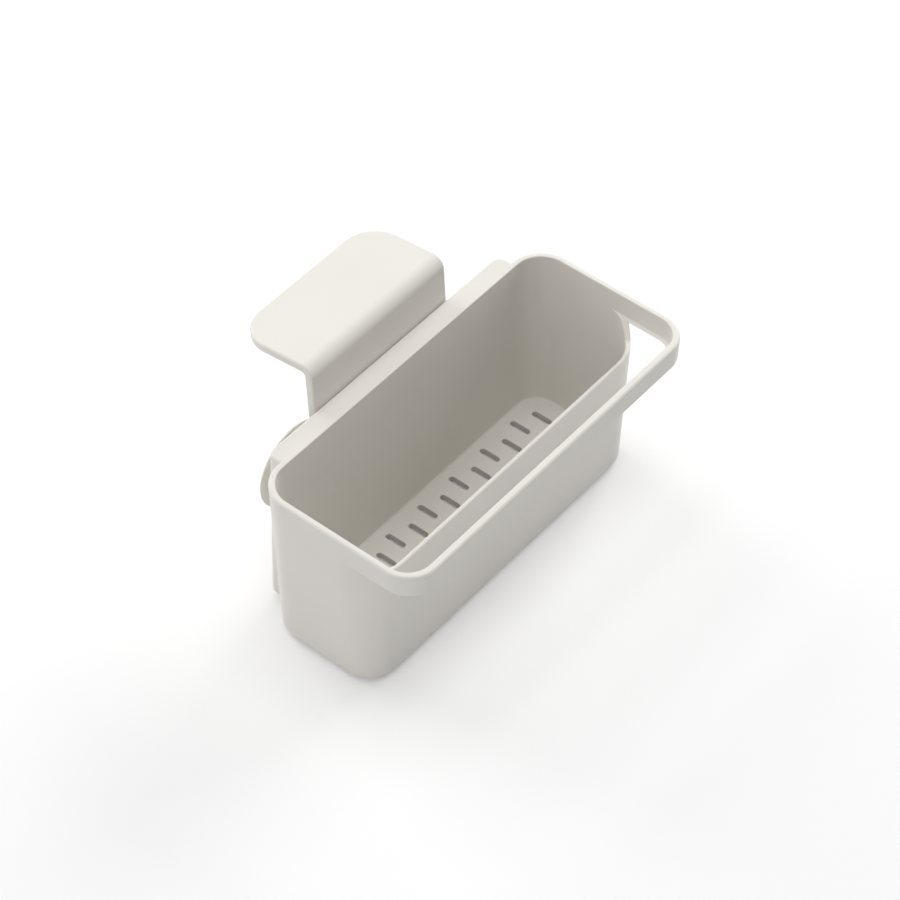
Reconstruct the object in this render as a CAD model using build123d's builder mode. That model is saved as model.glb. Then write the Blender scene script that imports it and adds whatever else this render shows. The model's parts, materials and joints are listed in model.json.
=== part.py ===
"""Kitchen sink caddy: a draining tub with a towel bar, a lift-up sink hook and two suction cups.

Millimetres, +Z up, X along the tub, the towel bar towards -Y and the sink wall towards +Y.
The origin is at the middle of the overall box, on the surface that the tub stands on.
"""
from build123d import *
from math import cos, radians, sin, sqrt, tan
import os

# Tub
height = 111.9
rim_length = 226.0
rim_width = 3.6
base_depth = 71.1
draft_angle = 2.7
front_draft_angle = 1.9
front_rim_drop = 23.0
front_wall = 2.5
floor_top = 6.2
floor_thick = 4.0
base_back_radius = 14.8
base_front_radius = 17.5
back_corner_radius = 20.4
front_corner_radius = 25.9
inner_floor_radius = 13.3
inner_front_radius = 23.4
base_edge_radius = 6.3
floor_edge_radius = 1.6
foot_width = 9.0
rim_outer_round = 1.4
rim_inner_round = 0.6
lip_round = 1.0

# Towel bar, its arms and the bevel along their inside
band_height = 14.4
bar_reach = 98.8
bar_thick = 4.35
bar_corner_radius = 14.1
band_bevel = 1.3
band_bevel_height = 1.7
opening_back_radius = 6.0
rim_rise_run = 4.9
rim_bend_radius = 2.5

# Floor slots
slot_width = 3.8
slot_length = 13.3
slot_margin = 17.8
wide_row_slots = 8
narrow_row_slots = 7
near_row_offset = 15.1
far_row_offset = 19.9

# Ledge and back panel
ledge_length = 190.0
ledge_depth = 12.6
ledge_corner_radius = 5.5
panel_wall = 2.8
panel_bottom = 4.0
panel_foot_radius = 6.0
panel_flare = 2.6
panel_return = 6.0
panel_return_height = 8.0

# Hook
hook_length = 107.9
hook_thick = 4.5
hook_lean = 4.0
flange_slope = 2.0
hook_offset = -2.5
hook_rise = 29.2
flange_depth = 53.2
flange_corner_radius = 20.0
hook_bend_radius = 7.0
hook_edge_round = 1.3
hook_shoulder = 8.0
tongue_length = 42.0
tongue_width = 70.0
tongue_corner_radius = 4.0
catch_width = 14.0
catch_height = 3.7
catch_reach = 3.6
catch_drop = 20.0
catch_travel = 8.0
strap_drop = 26.0
strap_height = 14.0
strap_thick = 2.5

# Suction cups
cup_spacing = 137.2
cup_clear = 1.45
cup_radius = 26.2
cup_dish = 2.45
cup_lip_thick = 1.6
cup_play = 1.8
cup_hub_radius = 8.0
cup_neck_radius = 3.9
cup_head_radius = 6.0
cup_head_thick = 2.4
cup_hollow = 2.6

# Clearances
gap = 0.3
neck_gap = 0.1
overrun = 1.0

# Heights and places that follow from the sizes above
draft = tan(radians(draft_angle))
front_draft = tan(radians(front_draft_angle))
lean = tan(radians(hook_lean))
half_rim = rim_length / 2
front_rim_height = height - front_rim_drop
half_outer = half_rim + rim_width
band_bottom = height - band_height
bevel_top = band_bottom + band_bevel_height
foot_height = floor_top - floor_thick
slot_pitch = (rim_length - 2 * slot_margin) / (wide_row_slots - 1)
front_reach = bar_reach + bar_thick
leg_gap_reach = ledge_depth + gap
flange_lean = hook_lean + flange_slope
back_reach = (
    leg_gap_reach
    + hook_rise * sin(radians(hook_lean))
    + flange_depth * cos(radians(flange_lean))
    - hook_edge_round * (cos(radians(flange_lean)) + sin(radians(flange_lean)) - 1)
)
wall_y = (front_reach - back_reach) / 2
tub_back = wall_y + rim_width - height * draft
tub_front = tub_back - base_depth
ledge_back = wall_y + ledge_depth

# The cups hang just clear of the shoulders of the hook's leg
cup_overlap = cup_spacing / 2 - hook_length / 2 + hook_offset
cup_height = height - hook_shoulder - cup_clear - sqrt(cup_radius**2 - cup_overlap**2)


def shrink(z):
    """How far the drafted back or end lies inside its place at the rim, at height z."""
    return (height - z) * draft


def front_shrink(z):
    """How far the towel bar's drafted face lies inside its place at the rim, at height z."""
    return (height - z) * front_draft


def plan(z, half_length, front, back, front_radius, back_radius):
    """A rectangle with its front and back corners rounded, at height z."""
    with BuildSketch(Plane.XY.offset(z), mode=Mode.PRIVATE) as outline:
        with Locations((0, (front + back) / 2)):
            Rectangle(2 * half_length, back - front)
        fillet(outline.vertices().group_by(Axis.Y)[0], front_radius)
        fillet(outline.vertices().group_by(Axis.Y)[-1], back_radius)
    return outline.sketch


def blend(low, high, z, bottom, top):
    """The value at height z of a size that changes evenly from low to high."""
    return low + (high - low) * (z - bottom) / (top - bottom)


def tub_plan(z):
    """The outside of the tub at height z."""
    return plan(
        z,
        half_outer - shrink(z),
        tub_front - z * front_draft,
        tub_back + z * draft,
        blend(base_front_radius, front_corner_radius, z, 0, height),
        blend(base_back_radius, back_corner_radius, z, 0, height),
    )


def hollow_plan(z):
    """The inside of the tub at height z."""
    return plan(
        z,
        half_rim - shrink(z),
        tub_front - z * front_draft + front_wall,
        wall_y - shrink(z),
        blend(inner_floor_radius, inner_front_radius, z, floor_top, height),
        blend(inner_floor_radius, back_corner_radius - rim_width, z, floor_top, height),
    )


def band_plan(z):
    """The outside of the raised band, with its back and ends in line with the tub's."""
    return plan(
        z,
        half_outer - shrink(z),
        wall_y - front_reach + front_shrink(z),
        wall_y + rim_width - shrink(z),
        bar_corner_radius + rim_width - front_shrink(z),
        blend(base_back_radius, back_corner_radius, z, 0, height),
    )


def opening_plan(z, inset, back, back_radius):
    """The inside of the band at height z, from the towel bar to the place of its back."""
    front_inset = inset + front_shrink(z)
    return plan(
        z,
        half_rim - inset - shrink(z),
        wall_y - bar_reach + front_inset,
        back,
        bar_corner_radius - front_inset,
        back_radius,
    )


def full_opening(z):
    """The inside of the band above the bevel, as far back as the tub's back wall."""
    back_radius = blend(inner_floor_radius, back_corner_radius - rim_width, z, floor_top, height)
    return opening_plan(z, 0, wall_y - shrink(z), back_radius)


def beveled_opening(z, inset):
    """The inside of the arms and the bar at the bevel, as far back as the middle of the tub."""
    return opening_plan(z, inset, (tub_front + tub_back) / 2, opening_back_radius)


with BuildPart() as hollow:
    loft([hollow_plan(floor_top), hollow_plan(height + overrun)], ruled=True)
    fillet(hollow.edges().group_by(Axis.Z)[0], floor_edge_radius)

with BuildPart() as opening:
    # As wide as the rim above the bevel, and narrower down to the underside
    loft([full_opening(bevel_top), full_opening(height + overrun)], ruled=True)
    loft([beveled_opening(band_bottom, band_bevel), beveled_opening(bevel_top, 0)], ruled=True)
    loft([hollow_plan(band_bottom), hollow_plan(bevel_top)], ruled=True)


def tub_face(z):
    """The place of the tub's outer back face at height z."""
    return wall_y + rim_width - shrink(z)


def lean_face(z):
    """The place of the leaning plane that the hook's leg stands on, at height z."""
    return ledge_back - (height - z) * lean


def leaning_plane(x, y):
    """A plane across the leg at ledge height: its X along the tub, its Z up along the leg."""
    return Plane(
        origin=(x, y, height),
        x_dir=(1, 0, 0),
        z_dir=(0, sin(radians(hook_lean)), cos(radians(hook_lean))),
    )


def upright(base, depth):
    """A plane along the leg, facing the sink wall, at a depth behind the base."""
    return Plane(origin=base.origin + base.y_dir * depth, x_dir=(-1, 0, 0), z_dir=base.y_dir)


def flange_point(along, below):
    """A point of the hook's section, from the flange's outer corner back and down from its top."""
    slope = radians(flange_slope)
    return (along * cos(slope) - below * sin(slope), hook_rise - along * sin(slope) - below * cos(slope))


def on_hook_outside(edge):
    """Whether an edge borders the outer face of the hook: its flange, its bend or its leg."""
    place = hook_plane.to_local_coords(edge.center())
    below = (edge.center() - hook_plane.origin - hook_plane.z_dir * hook_rise).dot(flange_up)
    on_leg = place.Y < hook_thick / 2 and place.Z > gap - tongue_length
    return (on_leg and abs(place.X) > hook_length / 4) or below > -gap


hook_plane = leaning_plane(hook_offset, wall_y + leg_gap_reach)
flange_up = Vector(0, sin(radians(flange_lean)), cos(radians(flange_lean)))
channel_plane = leaning_plane(0, ledge_back)
channel_half = tongue_width / 2 - hook_offset + gap
channel_foot = height - (tongue_length + gap) * cos(radians(hook_lean))

# Outlines of the moulding pockets behind the tub's back wall, seen from the end
pocket_top = height - panel_wall
panel_inside = ledge_back - panel_wall
return_y = panel_inside - panel_return
return_top = panel_bottom + panel_return_height
side_half = (ledge_length / 2 - channel_half) / 2 - panel_wall
side_middle = channel_half + panel_wall + side_half
pocket_foot = [
    (panel_inside, return_top),
    (return_y, return_top - panel_wall),
    (return_y, -overrun),
    (tub_face(-overrun), -overrun),
    (tub_face(pocket_top), pocket_top),
]
side_points = [(panel_inside, pocket_top)] + pocket_foot
channel_points = [
    (panel_inside, pocket_top),
    (lean_face(channel_foot) - panel_wall, channel_foot - panel_wall),
    (panel_inside, channel_foot - 2 * panel_wall),
] + pocket_foot


def pocket(half_length, middle, points):
    """A moulding pocket, open at the bottom."""
    with BuildPart() as space:
        with BuildSketch(Plane.YZ.offset(middle)):
            with BuildLine():
                Polyline(*points, close=True)
            make_face()
        extrude(amount=half_length, both=True)
    return space.part


def box_plan(z, flare):
    """The outline of the box behind the tub at height z, longer by flare at each end."""
    box_front = tub_back - overrun
    with BuildSketch(Plane.XY.offset(z), mode=Mode.PRIVATE) as outline:
        with Locations((0, (box_front + ledge_back) / 2)):
            Rectangle(ledge_length + 2 * flare, ledge_back - box_front)
        fillet(outline.vertices().group_by(Axis.Y)[-1], ledge_corner_radius)
    return outline.sketch


def keyhole(x):
    """The hole of a cup's neck, with the wider hole below it that lets the head in."""
    entry = 2 * cup_head_radius
    with BuildPart() as cut:
        with BuildSketch(Plane.XZ.offset(-ledge_back - overrun)):
            with Locations((x, cup_height)):
                Circle(cup_neck_radius + neck_gap)
            with Locations((x, cup_height - entry / 2)):
                Rectangle(2 * (cup_neck_radius + neck_gap), entry)
            with Locations((x, cup_height - entry)):
                Circle(cup_head_radius + gap)
        extrude(amount=panel_wall + 2 * overrun)
    return cut.part


with BuildPart() as channel:
    # The tongue's bay, and above it a shallow bay as wide as the leg
    with BuildSketch(upright(channel_plane, 0)) as bay:
        with Locations((0, -(tongue_length + gap - overrun) / 2)):
            Rectangle(2 * channel_half, tongue_length + gap + overrun)
        with Locations((0, -(hook_shoulder + gap - overrun) / 2)):
            Rectangle(hook_length - 2 * hook_offset + 2 * gap, hook_shoulder + gap + overrun)
        fillet(bay.vertices().group_by(Axis.Y)[1].sort_by(Axis.X)[1:3], tongue_corner_radius)
    extrude(amount=ledge_depth)

with BuildPart() as tub:
    loft([tub_plan(0), tub_plan(band_bottom)], ruled=True)
    fillet(tub.edges().group_by(Axis.Z)[0], base_edge_radius)
    # The low front rim, with steep ends up to the arms
    rim_end = half_rim - band_bevel - shrink(band_bottom)
    with BuildSketch(Plane.XZ.offset(-tub_front + overrun + band_bottom * front_draft)) as low_rim:
        with BuildLine():
            Polyline(
                (-rim_end, band_bottom),
                (rim_rise_run - rim_end, front_rim_height),
                (rim_end - rim_rise_run, front_rim_height),
                (rim_end, band_bottom),
                close=True,
            )
        make_face()
        fillet(low_rim.vertices().group_by(Axis.Y)[0], rim_bend_radius)
    extrude(amount=-base_depth / 2, mode=Mode.SUBTRACT)
    add(hollow.part, mode=Mode.SUBTRACT)
    front_edges = tub.edges().filter_by(
        lambda edge: edge.center().Y < (tub_front + tub_back) / 2
        and edge.center().Z > front_rim_height - gap
        and edge.center().Z < band_bottom - gap
    )
    fillet(front_edges, lip_round)

with BuildPart() as panel:
    # The box behind the tub, closed at its top and ends, and a little longer at its foot
    loft([box_plan(panel_bottom, panel_flare), box_plan(height, 0)], ruled=True)
    fillet(panel.edges().group_by(Axis.Z)[-1].sort_by(Axis.Y)[1:], rim_outer_round)
    fillet(panel.edges().group_by(Axis.Z)[0].sort_by(Axis.Y)[1:], panel_foot_radius)
    add(hollow.part, mode=Mode.SUBTRACT)

with BuildPart() as band:
    loft([band_plan(band_bottom), band_plan(height)], ruled=True)
    fillet(band.edges().group_by(Axis.Z)[-1], rim_outer_round)
    add(panel.part)
    add(opening.part, mode=Mode.SUBTRACT)
    fillet(band.faces().sort_by(Axis.Z)[-1].inner_wires()[0].edges(), rim_inner_round)

with BuildPart() as basket:
    add(tub.part)
    add(band.part)
    add(pocket(channel_half, 0, channel_points), mode=Mode.SUBTRACT)
    for side in (-1, 1):
        add(pocket(side_half, side * side_middle, side_points), mode=Mode.SUBTRACT)
        add(keyhole(side * cup_spacing / 2), mode=Mode.SUBTRACT)
    add(channel.part, mode=Mode.SUBTRACT)
    # The catch in the bay, and the strap that holds the tongue in
    with BuildSketch(upright(channel_plane, -panel_wall / 2)):
        with Locations((0, -catch_drop - catch_height / 2)):
            Rectangle(catch_width, catch_height)
    extrude(amount=panel_wall / 2 + gap + catch_reach)
    strap_inside = hook_thick + 2 * gap
    with BuildSketch(upright(channel_plane, strap_inside)):
        with Locations((0, -strap_drop - strap_height / 2)):
            Rectangle(2 * (channel_half + strap_thick), strap_height)
    extrude(amount=strap_thick)
    with BuildSketch(upright(channel_plane, -panel_wall / 2)):
        with Locations((0, -strap_drop - strap_height / 2)):
            Rectangle(2 * (channel_half + strap_thick), strap_height)
            Rectangle(2 * channel_half, strap_height, mode=Mode.SUBTRACT)
    extrude(amount=panel_wall / 2 + strap_inside + strap_thick)
    # The slots of the floor
    with BuildSketch(Plane.XY.offset(floor_top + overrun)):
        with Locations((0, (tub_front + tub_back) / 2)):
            with GridLocations(slot_pitch, 2 * near_row_offset, wide_row_slots, 2):
                SlotOverall(slot_length, slot_width, rotation=90)
            with GridLocations(slot_pitch, 2 * far_row_offset, narrow_row_slots, 2):
                SlotOverall(slot_length, slot_width, rotation=90)
    extrude(amount=-(floor_top + 2 * overrun), mode=Mode.SUBTRACT)
    # The hollow under the floor, inside the foot
    add(
        plan(
            0,
            half_outer - shrink(0) - foot_width,
            tub_front + foot_width,
            tub_back - foot_width,
            base_front_radius - foot_width,
            base_back_radius - foot_width,
        )
    )
    extrude(amount=foot_height, mode=Mode.SUBTRACT)

with BuildPart() as hook:
    # The leg and the flange, seen from the end
    side_plane = Plane(origin=hook_plane.origin, x_dir=hook_plane.y_dir, z_dir=(1, 0, 0))
    inner_corner = hook_thick * (1 + sin(radians(flange_slope))) / cos(radians(flange_slope))
    with BuildSketch(side_plane) as section:
        with BuildLine():
            Polyline(
                (0, -tongue_length),
                (hook_thick, -tongue_length),
                flange_point(inner_corner, hook_thick),
                flange_point(flange_depth, hook_thick),
                flange_point(flange_depth, 0),
                (0, hook_rise),
                close=True,
            )
        make_face()
        inner_bend = section.vertices().group_by(Axis.X)[1].sort_by(Axis.Y)[-1]
        fillet(inner_bend, hook_bend_radius - hook_thick)
        outer_bend = section.vertices().group_by(Axis.X)[0].sort_by(Axis.Y)[-1]
        fillet(outer_bend, hook_bend_radius)
    extrude(amount=hook_length / 2, both=True)
    # The free corners of the flange
    flange_ends = hook.edges().filter_by(Axis(hook_plane.origin, flange_up)).sort_by(Axis.Y)[-2:]
    fillet(flange_ends, flange_corner_radius)
    fillet(hook.edges().filter_by(on_hook_outside), hook_edge_round)
    # The tongue, narrower than the leg, with the window that the catch stands in
    side_cut = (hook_length - tongue_width) / 2 + overrun
    cut_length = tongue_length - hook_shoulder + overrun
    with BuildSketch(upright(hook_plane, -overrun)) as sides:
        for side in (-1, 1):
            with Locations((side * (tongue_width + side_cut) / 2, -hook_shoulder - cut_length / 2)):
                Rectangle(side_cut, cut_length)
        inner_corners = sides.vertices().group_by(Axis.Y)[-1].sort_by(Axis.X)[1:3]
        fillet(inner_corners, tongue_corner_radius)
    extrude(amount=hook_thick + 2 * overrun, mode=Mode.SUBTRACT)
    window_height = catch_height + catch_travel + 2 * gap
    with BuildSketch(upright(hook_plane, -overrun)):
        with Locations((0, gap - catch_drop - window_height / 2)):
            RectangleRounded(catch_width - 2 * hook_offset + 2 * gap, window_height, 2 * gap)
    extrude(amount=hook_thick + 2 * overrun, mode=Mode.SUBTRACT)


def suction_cup(x, pull):
    """A cup with its head behind the panel, its hollow towards the sink wall, and pulled out by pull."""
    head_back = panel_inside - cup_play - gap + pull
    neck_end = ledge_back + neck_gap + pull
    lip_front = neck_end + cup_dish
    lip_back = lip_front + cup_lip_thick
    lip_start = cup_radius - cup_lip_thick / 2
    with BuildPart() as cup:
        with BuildSketch(Plane.XY.offset(cup_height)):
            with BuildLine():
                Polyline(
                    (x, lip_back - cup_hollow),
                    (x, head_back - cup_head_thick),
                    (x + cup_head_radius, head_back - cup_head_thick),
                    (x + cup_head_radius, head_back),
                    (x + cup_neck_radius, head_back),
                    (x + cup_neck_radius, neck_end),
                    (x + cup_hub_radius, neck_end),
                )
                Spline(
                    (x + cup_hub_radius, neck_end),
                    (x + lip_start, lip_front),
                    tangents=((1, 0), (1, front_draft)),
                )
                ThreePointArc(
                    (x + lip_start, lip_front),
                    (x + cup_radius, (lip_front + lip_back) / 2),
                    (x + lip_start, lip_back),
                )
                Spline(
                    (x + lip_start, lip_back),
                    (x, lip_back - cup_hollow),
                    tangents=((-1, -front_draft), (-1, 0)),
                )
            make_face()
        revolve(axis=Axis((x, 0, cup_height), (0, 1, 0)))
    return cup.part


with BuildPart() as suction_cup_left:
    add(suction_cup(-cup_spacing / 2, cup_play))

with BuildPart() as suction_cup_right:
    add(suction_cup(cup_spacing / 2, 0))

basket.part.label = "basket"
hook.part.label = "hook"
suction_cup_left.part.label = "suction_cup_left"
suction_cup_right.part.label = "suction_cup_right"

os.makedirs("parts", exist_ok=True)
export_step(basket.part, "parts/basket.step")
export_step(hook.part, "parts/hook.step")
export_step(suction_cup_left.part, "parts/suction_cup_left.step")
export_step(suction_cup_right.part, "parts/suction_cup_right.step")
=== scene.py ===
import json
from math import cos, pi, radians, sin

import bmesh
import bpy
from bpy.props import FloatProperty, FloatVectorProperty, IntProperty, PointerProperty
from mathutils import Matrix, Vector

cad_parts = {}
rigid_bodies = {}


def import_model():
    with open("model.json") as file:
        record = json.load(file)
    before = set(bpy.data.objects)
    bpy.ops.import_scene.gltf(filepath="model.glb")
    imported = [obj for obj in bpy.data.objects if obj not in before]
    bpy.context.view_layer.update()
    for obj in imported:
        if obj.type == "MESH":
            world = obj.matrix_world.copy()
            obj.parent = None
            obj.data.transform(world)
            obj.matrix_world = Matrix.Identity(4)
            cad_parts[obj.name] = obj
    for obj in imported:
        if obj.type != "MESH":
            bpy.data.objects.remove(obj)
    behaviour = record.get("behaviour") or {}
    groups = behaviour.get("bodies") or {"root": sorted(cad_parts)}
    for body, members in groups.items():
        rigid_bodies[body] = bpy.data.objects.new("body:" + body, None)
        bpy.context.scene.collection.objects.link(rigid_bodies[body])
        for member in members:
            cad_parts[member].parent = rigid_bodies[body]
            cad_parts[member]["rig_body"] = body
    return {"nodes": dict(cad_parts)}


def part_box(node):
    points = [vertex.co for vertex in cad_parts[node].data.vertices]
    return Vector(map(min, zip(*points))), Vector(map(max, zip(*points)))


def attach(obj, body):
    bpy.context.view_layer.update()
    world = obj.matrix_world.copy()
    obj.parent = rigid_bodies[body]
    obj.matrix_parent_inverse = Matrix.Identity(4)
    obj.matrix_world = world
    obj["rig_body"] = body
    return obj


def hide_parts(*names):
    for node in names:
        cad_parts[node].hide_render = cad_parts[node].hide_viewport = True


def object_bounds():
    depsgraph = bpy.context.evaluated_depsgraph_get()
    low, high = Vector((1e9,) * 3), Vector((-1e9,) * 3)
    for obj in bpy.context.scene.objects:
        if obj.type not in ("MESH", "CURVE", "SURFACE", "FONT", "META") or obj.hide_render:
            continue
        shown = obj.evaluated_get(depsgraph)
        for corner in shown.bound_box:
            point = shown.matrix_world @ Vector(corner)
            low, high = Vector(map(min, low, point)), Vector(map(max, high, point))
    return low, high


bl_info = {
    "name": "Kitchen Sink Caddy",
    "version": (1, 0, 0),
    "blender": (4, 5, 0),
    "location": "View3D > Sidebar > Sink Caddy",
    "description": "Finishes a draining sink caddy with its hook and suction cups",
    "category": "Object",
}

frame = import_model()
cad_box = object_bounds()

MILLIMETRE = 0.001
CUPS = ("suction_cup_left", "suction_cup_right")

# Where the camera stands, from the photograph's perspective, and how far it sees
CAMERA_PLACE = (-0.9281, -0.7473, 1.3579)
SENSOR_WIDTH = 36.0
VIEW_DEPTH = 20.0

# Where the soft lamps stand round the caddy
LAMP_PLACES = {
    "overhead": (0.0, 0.0, 2.0),
    "left": (-1.8, 0.0, 0.9),
    "back": (0.0, 1.8, 0.9),
    "right": (1.8, 0.0, 0.9),
}

# Steps in each curve of a cup's section
CURVE_STEPS = 8

# How much of the cup's head is bevelled
HEAD_BEVEL_SHARE = 1 / 3

# Points of a spun cup that are closer than this become one
WELD_DISTANCE = 0.01 * MILLIMETRE


class PlasticSettings(bpy.types.PropertyGroup):
    """The finish of the basket and the hook."""

    colour: FloatVectorProperty(
        name="Colour",
        description="The moulded plastic's own colour",
        subtype="COLOR",
        size=3,
        min=0.0,
        max=1.0,
        default=(0.735, 0.71, 0.663),
    )
    shade: FloatProperty(
        name="Shade",
        description="How much darker the plastic's faint flow clouds are",
        min=0.8,
        max=1.0,
        default=0.975,
    )
    cloud_size: FloatProperty(
        name="Cloud size",
        description="Width of the flow clouds in the plastic",
        unit="LENGTH",
        default=60 * MILLIMETRE,
    )
    gloss_size: FloatProperty(
        name="Gloss size",
        description="Width of the patches of uneven gloss",
        unit="LENGTH",
        default=20 * MILLIMETRE,
    )
    grain_size: FloatProperty(
        name="Grain size",
        description="Width of the fine matt grain of the mould",
        unit="LENGTH",
        default=0.5 * MILLIMETRE,
    )
    grain_depth: FloatProperty(
        name="Grain depth",
        description="Height of the matt grain",
        unit="LENGTH",
        default=0.02 * MILLIMETRE,
    )
    smooth_roughness: FloatProperty(
        name="Lowest roughness",
        description="Roughness where the plastic is smoothest",
        min=0.0,
        max=1.0,
        default=0.42,
    )
    matt_roughness: FloatProperty(
        name="Highest roughness",
        description="Roughness where the plastic is most matt",
        min=0.0,
        max=1.0,
        default=0.54,
    )


class CupSettings(bpy.types.PropertyGroup):
    """The shape and finish of the suction cups."""

    colour: FloatVectorProperty(
        name="Colour",
        description="The soft cup's own colour",
        subtype="COLOR",
        size=3,
        min=0.0,
        max=1.0,
        default=(0.92, 0.89, 0.82),
    )
    shade: FloatProperty(
        name="Shade",
        description="How much darker the cup's faint clouds are",
        min=0.8,
        max=1.0,
        default=0.94,
    )
    cloud_size: FloatProperty(
        name="Cloud size",
        description="Width of the clouds in the soft cup",
        unit="LENGTH",
        default=14 * MILLIMETRE,
    )
    gloss_size: FloatProperty(
        name="Gloss size",
        description="Width of the patches of uneven gloss",
        unit="LENGTH",
        default=5 * MILLIMETRE,
    )
    smooth_roughness: FloatProperty(
        name="Lowest roughness",
        description="Roughness where the cup is smoothest",
        min=0.0,
        max=1.0,
        default=0.28,
    )
    matt_roughness: FloatProperty(
        name="Highest roughness",
        description="Roughness where the cup is most matt",
        min=0.0,
        max=1.0,
        default=0.4,
    )
    clearness: FloatProperty(
        name="Clearness",
        description="Share of the light that passes into the cup",
        min=0.0,
        max=1.0,
        default=0.5,
    )
    refraction: FloatProperty(
        name="Refraction",
        description="Refractive index of the soft plastic",
        min=1.0,
        default=1.45,
    )
    steps: IntProperty(
        name="Steps",
        description="How many steps the cup is spun in",
        min=12,
        default=64,
    )
    lip: FloatProperty(
        name="Lip",
        description="Thickness of the cup's round lip",
        unit="LENGTH",
        default=1.6 * MILLIMETRE,
    )
    dish: FloatProperty(
        name="Dish",
        description="How far the lip stands behind the hub",
        unit="LENGTH",
        default=2.45 * MILLIMETRE,
    )
    hollow: FloatProperty(
        name="Hollow",
        description="Depth of the hollow that faces the sink wall",
        unit="LENGTH",
        default=2.6 * MILLIMETRE,
    )
    hub: FloatProperty(
        name="Hub",
        description="Radius of the cup's flat hub behind the panel",
        unit="LENGTH",
        default=8.0 * MILLIMETRE,
    )
    neck: FloatProperty(
        name="Neck",
        description="Radius of the neck in the panel's keyhole",
        unit="LENGTH",
        default=3.9 * MILLIMETRE,
    )
    head: FloatProperty(
        name="Head",
        description="Radius of the head that holds the cup in the panel",
        unit="LENGTH",
        default=6.0 * MILLIMETRE,
    )
    head_depth: FloatProperty(
        name="Head depth",
        description="Thickness of the head",
        unit="LENGTH",
        default=2.4 * MILLIMETRE,
    )


class StageSettings(bpy.types.PropertyGroup):
    """The table, the light and the camera."""

    azimuth: FloatProperty(
        name="Azimuth",
        description="Direction that the camera looks from",
        subtype="ANGLE",
        default=radians(-51.70),
    )
    elevation: FloatProperty(
        name="Elevation",
        description="Height of the camera above the horizon",
        subtype="ANGLE",
        default=radians(47.52),
    )
    roll: FloatProperty(
        name="Roll",
        description="Turn of the camera about its line of sight",
        subtype="ANGLE",
        default=radians(1.15),
    )
    lens: FloatProperty(
        name="Lens",
        description="Focal length for a sensor of 36 mm",
        default=132.0,
    )
    table_width: FloatProperty(
        name="Table width",
        description="Side of the square white table",
        unit="LENGTH",
        default=8.0,
    )
    table_white: FloatProperty(
        name="Table white",
        description="How much of the light the table throws back at the caddy",
        min=0.0,
        max=1.0,
        default=0.85,
    )
    seen_white: FloatProperty(
        name="Seen white",
        description="How much of the light the table throws back at the camera",
        min=0.0,
        max=1.0,
        default=0.78,
    )
    seen_glow: FloatProperty(
        name="Seen glow",
        description="What the camera sees of the table even in the deepest shadow",
        min=0.0,
        default=0.18,
    )
    sky: FloatProperty(
        name="Sky",
        description="Strength of the soft light from all round",
        min=0.0,
        default=0.30,
    )
    lamp_size: FloatProperty(
        name="Lamp size",
        description="Side of each soft square lamp",
        unit="LENGTH",
        default=1.2,
    )
    overhead: FloatProperty(
        name="Overhead",
        description="Power of the lamp above the caddy, in watts",
        min=0.0,
        default=14.9,
    )
    left: FloatProperty(
        name="Left",
        description="Power of the lamp beyond the near end, in watts",
        min=0.0,
        default=7.7,
    )
    back: FloatProperty(
        name="Back",
        description="Power of the lamp on the hook's side, in watts",
        min=0.0,
        default=17.4,
    )
    right: FloatProperty(
        name="Right",
        description="Power of the lamp beyond the far end, in watts",
        min=0.0,
        default=23.4,
    )


class Nodes:
    """A material's node tree, with short calls to add and join its nodes."""

    def __init__(self, owner):
        owner.use_nodes = True
        self.tree = owner.node_tree
        self.tree.nodes.clear()

    def add(self, kind, **values):
        node = self.tree.nodes.new(kind)
        for name, value in values.items():
            setattr(node, name, value)
        return node

    def join(self, source, target):
        self.tree.links.new(source, target)


def new_material(name):
    """An empty node material."""
    material = bpy.data.materials.new(name)
    return material, Nodes(material)


def noise(nodes, place, width, detail=2.0, roughness=0.5):
    """Noise whose spots are about width metres wide."""
    node = nodes.add("ShaderNodeTexNoise")
    node.inputs["Scale"].default_value = 1 / width
    node.inputs["Detail"].default_value = detail
    node.inputs["Roughness"].default_value = roughness
    nodes.join(place, node.inputs["Vector"])
    return node


def ramp(nodes, factor, low, high, start=0.35, end=0.65):
    """A colour ramp between two colours."""
    node = nodes.add("ShaderNodeValToRGB")
    first, last = node.color_ramp.elements
    first.position = start
    first.color = (*low, 1)
    last.position = end
    last.color = (*high, 1)
    nodes.join(factor, node.inputs["Fac"])
    return node


def spread(nodes, factor, low, high):
    """The factor mapped to the range from low to high."""
    node = nodes.add("ShaderNodeMapRange")
    node.inputs["To Min"].default_value = low
    node.inputs["To Max"].default_value = high
    nodes.join(factor, node.inputs["Value"])
    return node


def bump(nodes, height, depth, strength=1.0):
    """A bump of a real depth."""
    node = nodes.add("ShaderNodeBump")
    node.inputs["Distance"].default_value = depth
    node.inputs["Strength"].default_value = strength
    nodes.join(height, node.inputs["Height"])
    return node


def moulded_plastic(settings):
    """Matt moulded plastic: faint clouds, uneven gloss and a fine grain."""
    material, nodes = new_material("moulded_plastic")
    place = nodes.add("ShaderNodeTexCoord").outputs["Object"]
    shader = nodes.add("ShaderNodeBsdfPrincipled")
    output = nodes.add("ShaderNodeOutputMaterial")
    light = tuple(settings.colour)
    dark = tuple(part * settings.shade for part in light)
    clouds = noise(nodes, place, settings.cloud_size, detail=4.0)
    tone = ramp(nodes, clouds.outputs["Fac"], dark, light)
    nodes.join(tone.outputs["Color"], shader.inputs["Base Color"])
    gloss = noise(nodes, place, settings.gloss_size, detail=6.0)
    roughness = spread(nodes, gloss.outputs["Fac"], settings.smooth_roughness, settings.matt_roughness)
    nodes.join(roughness.outputs["Result"], shader.inputs["Roughness"])
    grain = noise(nodes, place, settings.grain_size, detail=3.0, roughness=0.6)
    surface = bump(nodes, grain.outputs["Fac"], settings.grain_depth)
    nodes.join(surface.outputs["Normal"], shader.inputs["Normal"])
    nodes.join(shader.outputs["BSDF"], output.inputs["Surface"])
    return material


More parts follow.
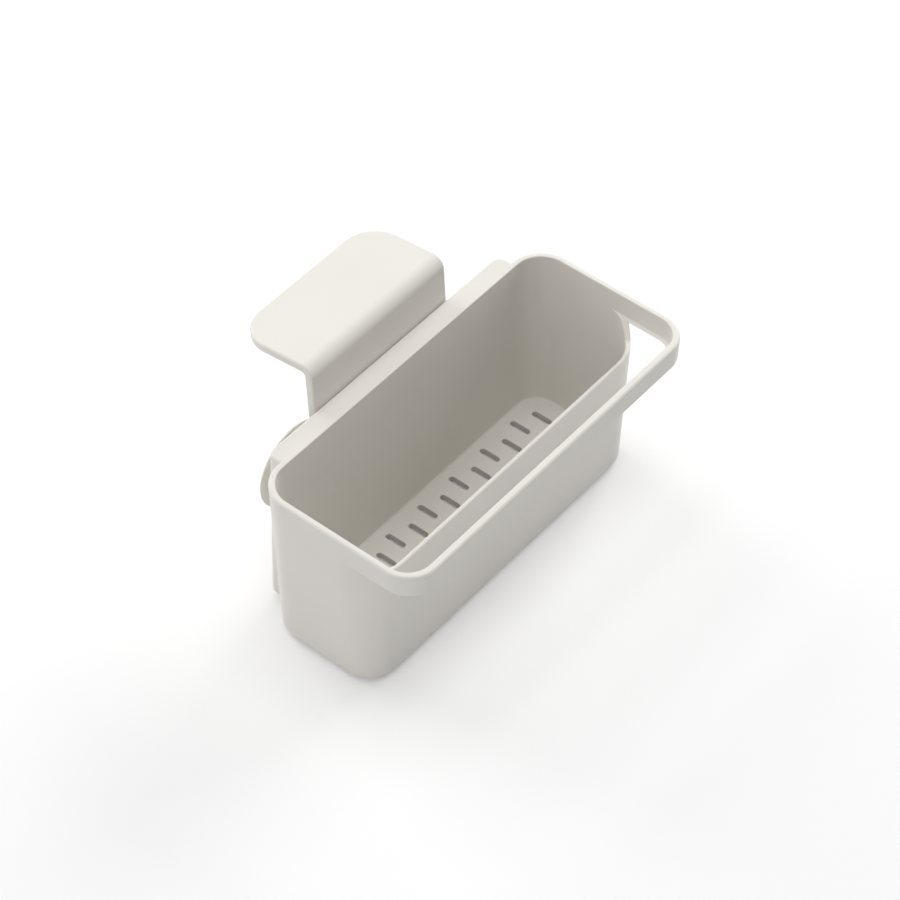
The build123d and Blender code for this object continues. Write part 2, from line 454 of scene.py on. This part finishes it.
def soft_rubber(settings):
    """Translucent soft plastic of the cups."""
    material, nodes = new_material("soft_cup")
    place = nodes.add("ShaderNodeTexCoord").outputs["Object"]
    shader = nodes.add("ShaderNodeBsdfPrincipled")
    output = nodes.add("ShaderNodeOutputMaterial")
    light = tuple(settings.colour)
    dark = tuple(part * settings.shade for part in light)
    clouds = noise(nodes, place, settings.cloud_size, detail=3.0)
    tone = ramp(nodes, clouds.outputs["Fac"], dark, light)
    nodes.join(tone.outputs["Color"], shader.inputs["Base Color"])
    gloss = noise(nodes, place, settings.gloss_size, detail=4.0)
    roughness = spread(nodes, gloss.outputs["Fac"], settings.smooth_roughness, settings.matt_roughness)
    nodes.join(roughness.outputs["Result"], shader.inputs["Roughness"])
    shader.inputs["Transmission Weight"].default_value = settings.clearness
    shader.inputs["IOR"].default_value = settings.refraction
    nodes.join(shader.outputs["BSDF"], output.inputs["Surface"])
    return material


def dress(node, material):
    """Gives a carried-over node its finish."""
    body = frame["nodes"][node]
    body.data.materials.clear()
    body.data.materials.append(material)


def plastic():
    """The one plastic that the basket and the hook share."""
    found = bpy.data.materials.get("moulded_plastic")
    return found or moulded_plastic(bpy.context.scene.caddy_plastic)


class CADDY_OT_basket(bpy.types.Operator):
    """Finish the basket in moulded plastic"""

    bl_idname = "caddy.basket"
    bl_label = "Basket"

    def execute(self, context):
        dress("basket", plastic())
        return {"FINISHED"}


class CADDY_OT_hook(bpy.types.Operator):
    """Finish the hook plate in moulded plastic"""

    bl_idname = "caddy.hook"
    bl_label = "Hook"

    def execute(self, context):
        dress("hook", plastic())
        return {"FINISHED"}


def ease(share):
    """A smooth step from 0 to 1."""
    return share * share * (3 - 2 * share)


def cup_profile(settings, low, high):
    """Radius and place along Y of the cup's section, from its head round to its hollow."""
    lip_radius = settings.lip / 2
    start = (high.x - low.x) / 2 - lip_radius
    lip_front = high.y - settings.lip
    hub_face = lip_front - settings.dish
    head_back = low.y + settings.head_depth
    edge = settings.head_depth * HEAD_BEVEL_SHARE
    points = [
        (0.0, low.y),
        (settings.head - edge, low.y),
        (settings.head, low.y + edge),
        (settings.head, head_back),
        (settings.neck, head_back),
        (settings.neck, hub_face),
        (settings.hub, hub_face),
    ]
    shares = [step / CURVE_STEPS for step in range(1, CURVE_STEPS + 1)]
    for share in shares:
        reach = settings.hub + (start - settings.hub) * share
        points.append((reach, hub_face + settings.dish * ease(share)))
    for share in shares:
        turn = pi * share
        points.append((start + lip_radius * sin(turn), high.y - lip_radius * (1 + cos(turn))))
    for share in shares:
        points.append((start * (1 - share), high.y - settings.hollow * ease(share)))
    return points


def spin_cup(name, node, settings, material):
    """A cup spun about its own axis, in the node's place."""
    low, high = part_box(node)
    centre = (low + high) / 2
    mesh = bpy.data.meshes.new(name)
    shape = bmesh.new()
    points = [
        shape.verts.new((centre.x + reach, along, centre.z))
        for reach, along in cup_profile(settings, low, high)
    ]
    edges = [shape.edges.new(pair) for pair in zip(points, points[1:])]
    bmesh.ops.spin(
        shape,
        geom=points + edges,
        cent=centre,
        axis=(0, 1, 0),
        angle=2 * pi,
        steps=settings.steps,
        use_merge=True,
        use_duplicate=False,
    )
    bmesh.ops.remove_doubles(shape, verts=shape.verts, dist=WELD_DISTANCE)
    bmesh.ops.recalc_face_normals(shape, faces=shape.faces)
    for face in shape.faces:
        face.smooth = True
    shape.to_mesh(mesh)
    shape.free()
    cup = bpy.data.objects.new(name, mesh)
    bpy.context.scene.collection.objects.link(cup)
    mesh.materials.append(material)
    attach(cup, frame["nodes"][node]["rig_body"])
    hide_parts(node)
    return cup


class CADDY_OT_cups(bpy.types.Operator):
    """Make the two soft suction cups behind the panel"""

    bl_idname = "caddy.cups"
    bl_label = "Suction Cups"

    def execute(self, context):
        settings = context.scene.caddy_cup
        material = soft_rubber(settings)
        for node in CUPS:
            spin_cup("soft_" + node, node, settings, material)
        return {"FINISHED"}


def seen_directly(nodes):
    """1 for what the camera sees, also in a reflection or through clear material."""
    rays = nodes.add("ShaderNodeLightPath")
    total = rays.outputs["Is Camera Ray"]
    for name in ("Is Glossy Ray", "Is Transmission Ray"):
        either = nodes.add("ShaderNodeMath", operation="MAXIMUM")
        nodes.join(total, either.inputs[0])
        nodes.join(rays.outputs[name], either.inputs[1])
        total = either.outputs["Value"]
    return total


def white_table(settings):
    """A white table that keeps the object's soft shadow."""
    material, nodes = new_material("white_table")
    seen = seen_directly(nodes)
    lit = nodes.add("ShaderNodeBsdfDiffuse")
    lit.inputs["Color"].default_value = (*[settings.table_white] * 3, 1)
    shown = nodes.add("ShaderNodeBsdfDiffuse")
    shown.inputs["Color"].default_value = (*[settings.seen_white] * 3, 1)
    glow = nodes.add("ShaderNodeEmission")
    glow.inputs["Strength"].default_value = settings.seen_glow
    both = nodes.add("ShaderNodeAddShader")
    nodes.join(shown.outputs["BSDF"], both.inputs[0])
    nodes.join(glow.outputs["Emission"], both.inputs[1])
    mix = nodes.add("ShaderNodeMixShader")
    nodes.join(seen, mix.inputs["Fac"])
    nodes.join(lit.outputs["BSDF"], mix.inputs[1])
    nodes.join(both.outputs["Shader"], mix.inputs[2])
    output = nodes.add("ShaderNodeOutputMaterial")
    nodes.join(mix.outputs["Shader"], output.inputs["Surface"])
    return material


def add_table(settings):
    """The flat table that the caddy stands on."""
    mesh = bpy.data.meshes.new("table")
    shape = bmesh.new()
    bmesh.ops.create_grid(shape, x_segments=1, y_segments=1, size=settings.table_width / 2)
    shape.to_mesh(mesh)
    shape.free()
    table = bpy.data.objects.new("table", mesh)
    mesh.materials.append(white_table(settings))
    bpy.context.scene.collection.objects.link(table)


def add_sky(strength):
    """White where it is seen, and a soft even light elsewhere."""
    world = bpy.data.worlds.new("studio")
    nodes = Nodes(world)
    seen = seen_directly(nodes)
    light = nodes.add("ShaderNodeBackground")
    light.inputs["Strength"].default_value = strength
    white = nodes.add("ShaderNodeBackground")
    mix = nodes.add("ShaderNodeMixShader")
    nodes.join(seen, mix.inputs["Fac"])
    nodes.join(light.outputs["Background"], mix.inputs[1])
    nodes.join(white.outputs["Background"], mix.inputs[2])
    output = nodes.add("ShaderNodeOutputWorld")
    nodes.join(mix.outputs["Shader"], output.inputs["Surface"])
    light.inputs["Color"].default_value = (1, 1, 1, 1)
    white.inputs["Color"].default_value = (1, 1, 1, 1)
    bpy.context.scene.world = world


def add_lamp(name, place, size, power, aim):
    """A soft square lamp that shines at a point."""
    lamp = bpy.data.lights.new(name, "AREA")
    lamp.shape = "SQUARE"
    lamp.size = size
    lamp.energy = power
    holder = bpy.data.objects.new(name, lamp)
    holder.location = place
    holder.rotation_euler = (aim - Vector(place)).to_track_quat("-Z", "Y").to_euler()
    bpy.context.scene.collection.objects.link(holder)


def add_camera(settings):
    """The camera at the photograph's place and angle."""
    camera = bpy.data.cameras.new("camera")
    camera.sensor_width = SENSOR_WIDTH
    camera.lens = settings.lens
    camera.clip_end = VIEW_DEPTH
    holder = bpy.data.objects.new("camera", camera)
    turn, tilt, roll = settings.azimuth, settings.elevation, settings.roll
    back = Vector((sin(turn) * cos(tilt), -cos(turn) * cos(tilt), sin(tilt)))
    level = Vector((cos(turn), sin(turn), 0))
    above = back.cross(level)
    right = cos(roll) * level + sin(roll) * above
    axes = Matrix((right, back.cross(right), back)).transposed()
    holder.matrix_world = Matrix.Translation(CAMERA_PLACE) @ axes.to_4x4()
    bpy.context.scene.collection.objects.link(holder)
    bpy.context.scene.camera = holder


class CADDY_OT_stage(bpy.types.Operator):
    """Set out the white table, the soft light and the camera"""

    bl_idname = "caddy.stage"
    bl_label = "Stage"

    def execute(self, context):
        settings = context.scene.caddy_stage
        low, high = cad_box
        middle = (low + high) / 2
        add_table(settings)
        add_sky(settings.sky)
        for name, place in LAMP_PLACES.items():
            add_lamp(name, place, settings.lamp_size, getattr(settings, name), middle)
        add_camera(settings)
        context.scene.view_settings.view_transform = "Standard"
        return {"FINISHED"}


class CADDY_PT_panel(bpy.types.Panel):
    """Lists the pieces of the sink caddy"""

    bl_label = "Sink Caddy"
    bl_space_type = "VIEW_3D"
    bl_region_type = "UI"
    bl_category = "Sink Caddy"

    def draw(self, context):
        for operator in OPERATORS:
            self.layout.operator(operator.bl_idname)
        for group in GROUPS:
            box = self.layout.box()
            for name in GROUPS[group].__annotations__:
                box.prop(getattr(context.scene, group), name)


GROUPS = {
    "caddy_plastic": PlasticSettings,
    "caddy_cup": CupSettings,
    "caddy_stage": StageSettings,
}
OPERATORS = (CADDY_OT_basket, CADDY_OT_hook, CADDY_OT_cups, CADDY_OT_stage)
CLASSES = (*GROUPS.values(), *OPERATORS, CADDY_PT_panel)


def register():
    for item in CLASSES:
        bpy.utils.register_class(item)
    for name, group in GROUPS.items():
        setattr(bpy.types.Scene, name, PointerProperty(type=group))


def unregister():
    for name in GROUPS:
        delattr(bpy.types.Scene, name)
    for item in reversed(CLASSES):
        bpy.utils.unregister_class(item)


def main():
    """Makes every piece and the stage."""
    register()
    bpy.ops.caddy.basket()
    bpy.ops.caddy.hook()
    bpy.ops.caddy.cups()
    bpy.ops.caddy.stage()


if __name__ == "__main__":
    main()
